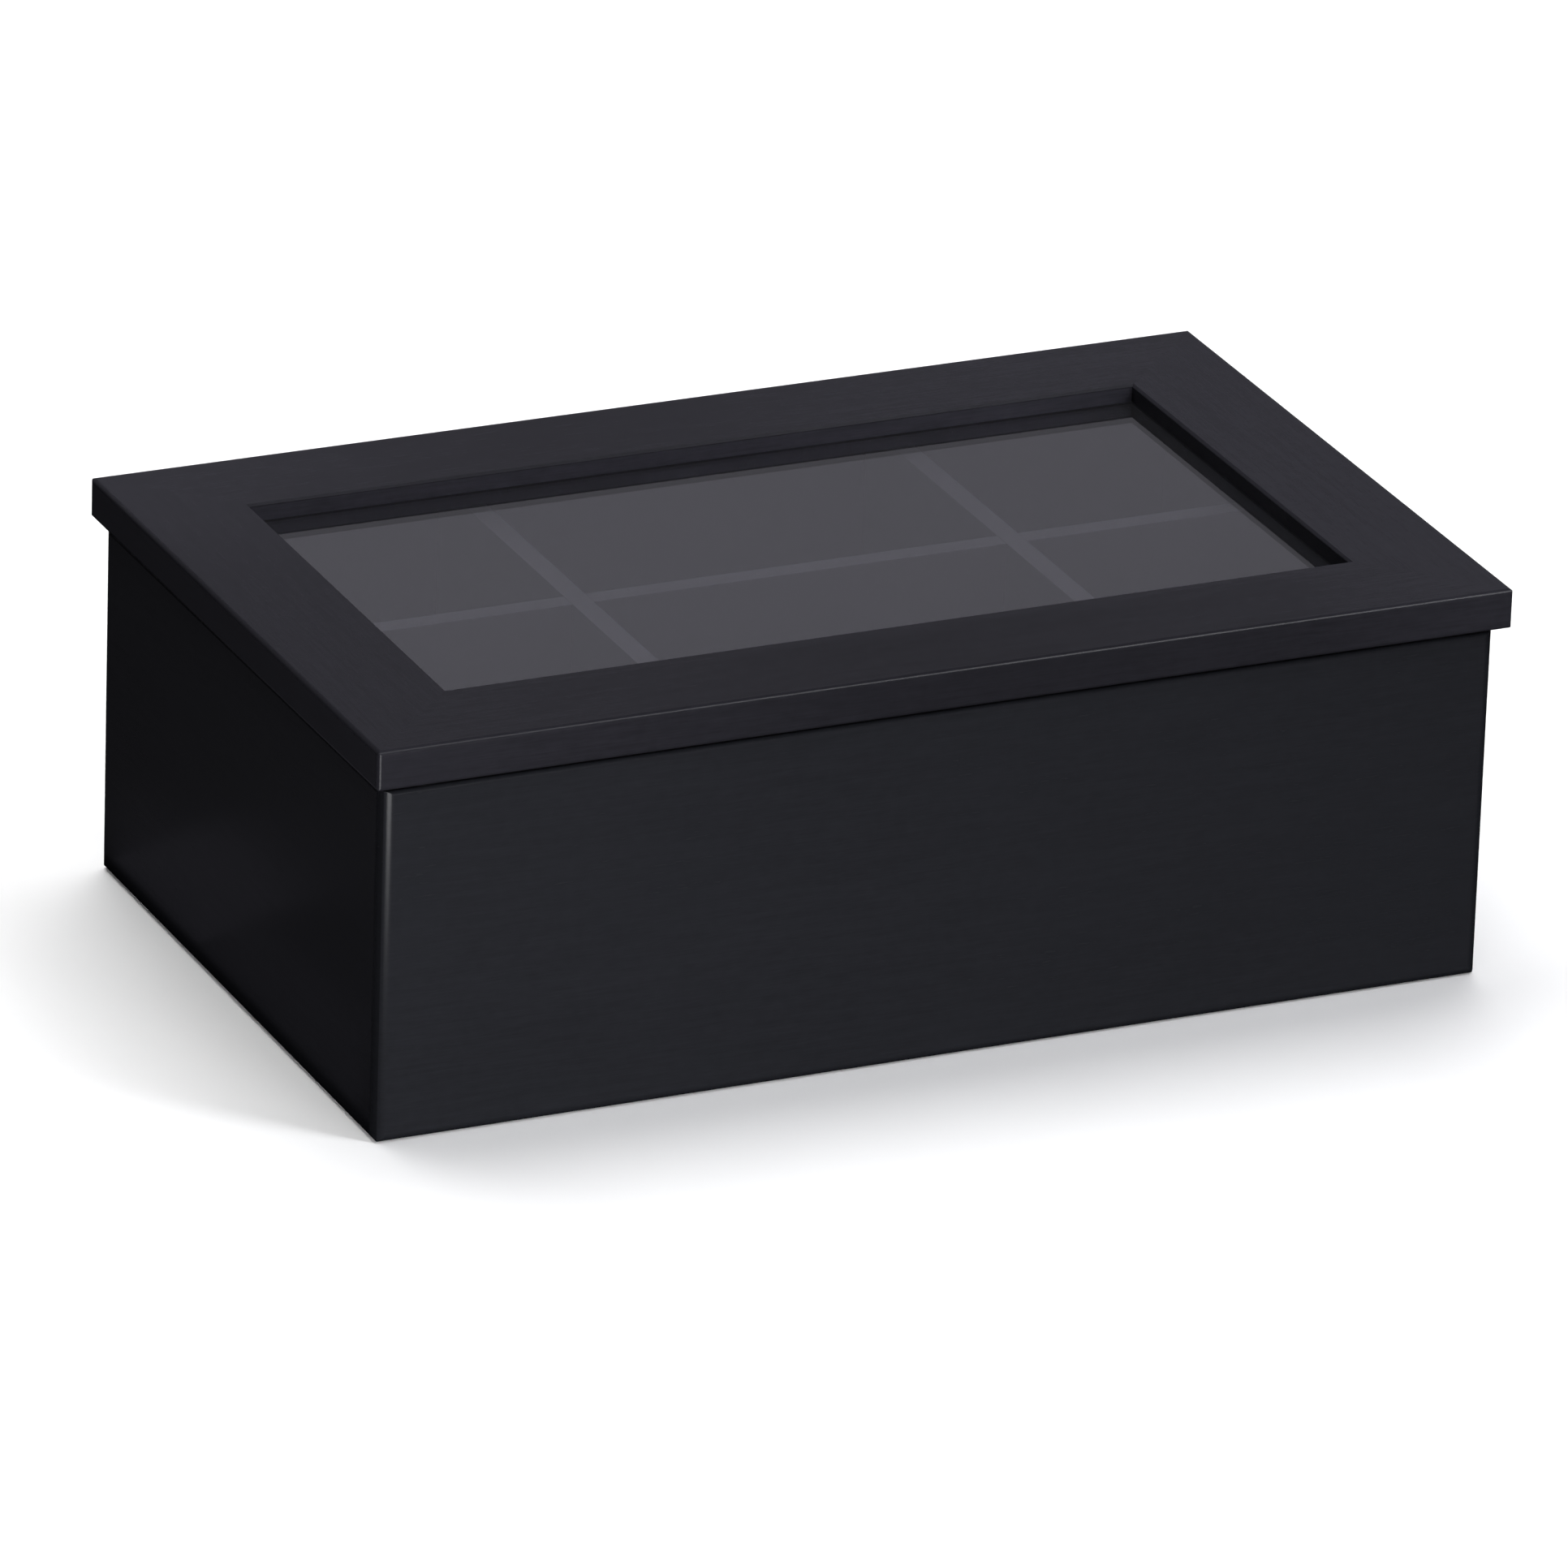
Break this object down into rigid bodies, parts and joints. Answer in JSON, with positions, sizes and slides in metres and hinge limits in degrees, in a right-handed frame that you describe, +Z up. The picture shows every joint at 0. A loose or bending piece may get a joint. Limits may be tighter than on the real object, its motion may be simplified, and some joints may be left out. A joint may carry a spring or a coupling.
{
  "type": "tea bag organizer box",
  "caption": "Low wooden box divided into equal compartments for wrapped tea bags, with a back-hinged framed lid that carries a clear window.",
  "frame": {"origin": "middle of the lid's plan outline, on the underside of the box (the plane it stands on)", "axes": "+X to the right along the long side, -Y out of the front, +Z up; the hinges are on the +Y side"},
  "size_m": [0.26, 0.1628, 0.09],
  "materials": {
    "lid_wood": "black satin lacquer over fine straight grain",
    "box_wood": "black satin lacquer over fine straight grain",
    "divider_wood": "black satin lacquer on thin board",
    "base_board": "black lacquer on thin board, matt",
    "clear_window": "clear, polished",
    "bumper": "soft, translucent grey",
    "hinge_metal": "satin plated sheet",
    "pin_steel": "plain drawn wire"
  },
  "bodies": {
    "box": {"front_wall": "box_wood", "back_wall": "box_wood", "left_wall": "box_wood", "right_wall": "box_wood", "base_panel": "base_board", "long_divider": "divider_wood", "cross_divider_left": "divider_wood", "cross_divider_right": "divider_wood", "hinge_left_box_leaf": "hinge_metal", "hinge_left_pin": "pin_steel", "hinge_right_box_leaf": "hinge_metal", "hinge_right_pin": "pin_steel", "hinge_screws_box": "hinge_metal"},
    "lid": {"lid_front_rail": "lid_wood", "lid_back_rail": "lid_wood", "lid_left_stile": "lid_wood", "lid_right_stile": "lid_wood", "window_pane": "clear_window", "glazing_bead_front": "lid_wood", "glazing_bead_back": "lid_wood", "glazing_bead_left": "lid_wood", "glazing_bead_right": "lid_wood", "lid_bumpers": "bumper", "hinge_left_lid_leaf": "hinge_metal", "hinge_right_lid_leaf": "hinge_metal", "hinge_screws_lid": "hinge_metal"}
  },
  "joints": [
    {"name": "lid_hinge", "type": "hinge", "parent": "box", "child": "lid", "pos_m": [0, 0.0793, 0.0792], "axis": [-1, 0, 0], "range_deg": [0, 100]}
  ]
}
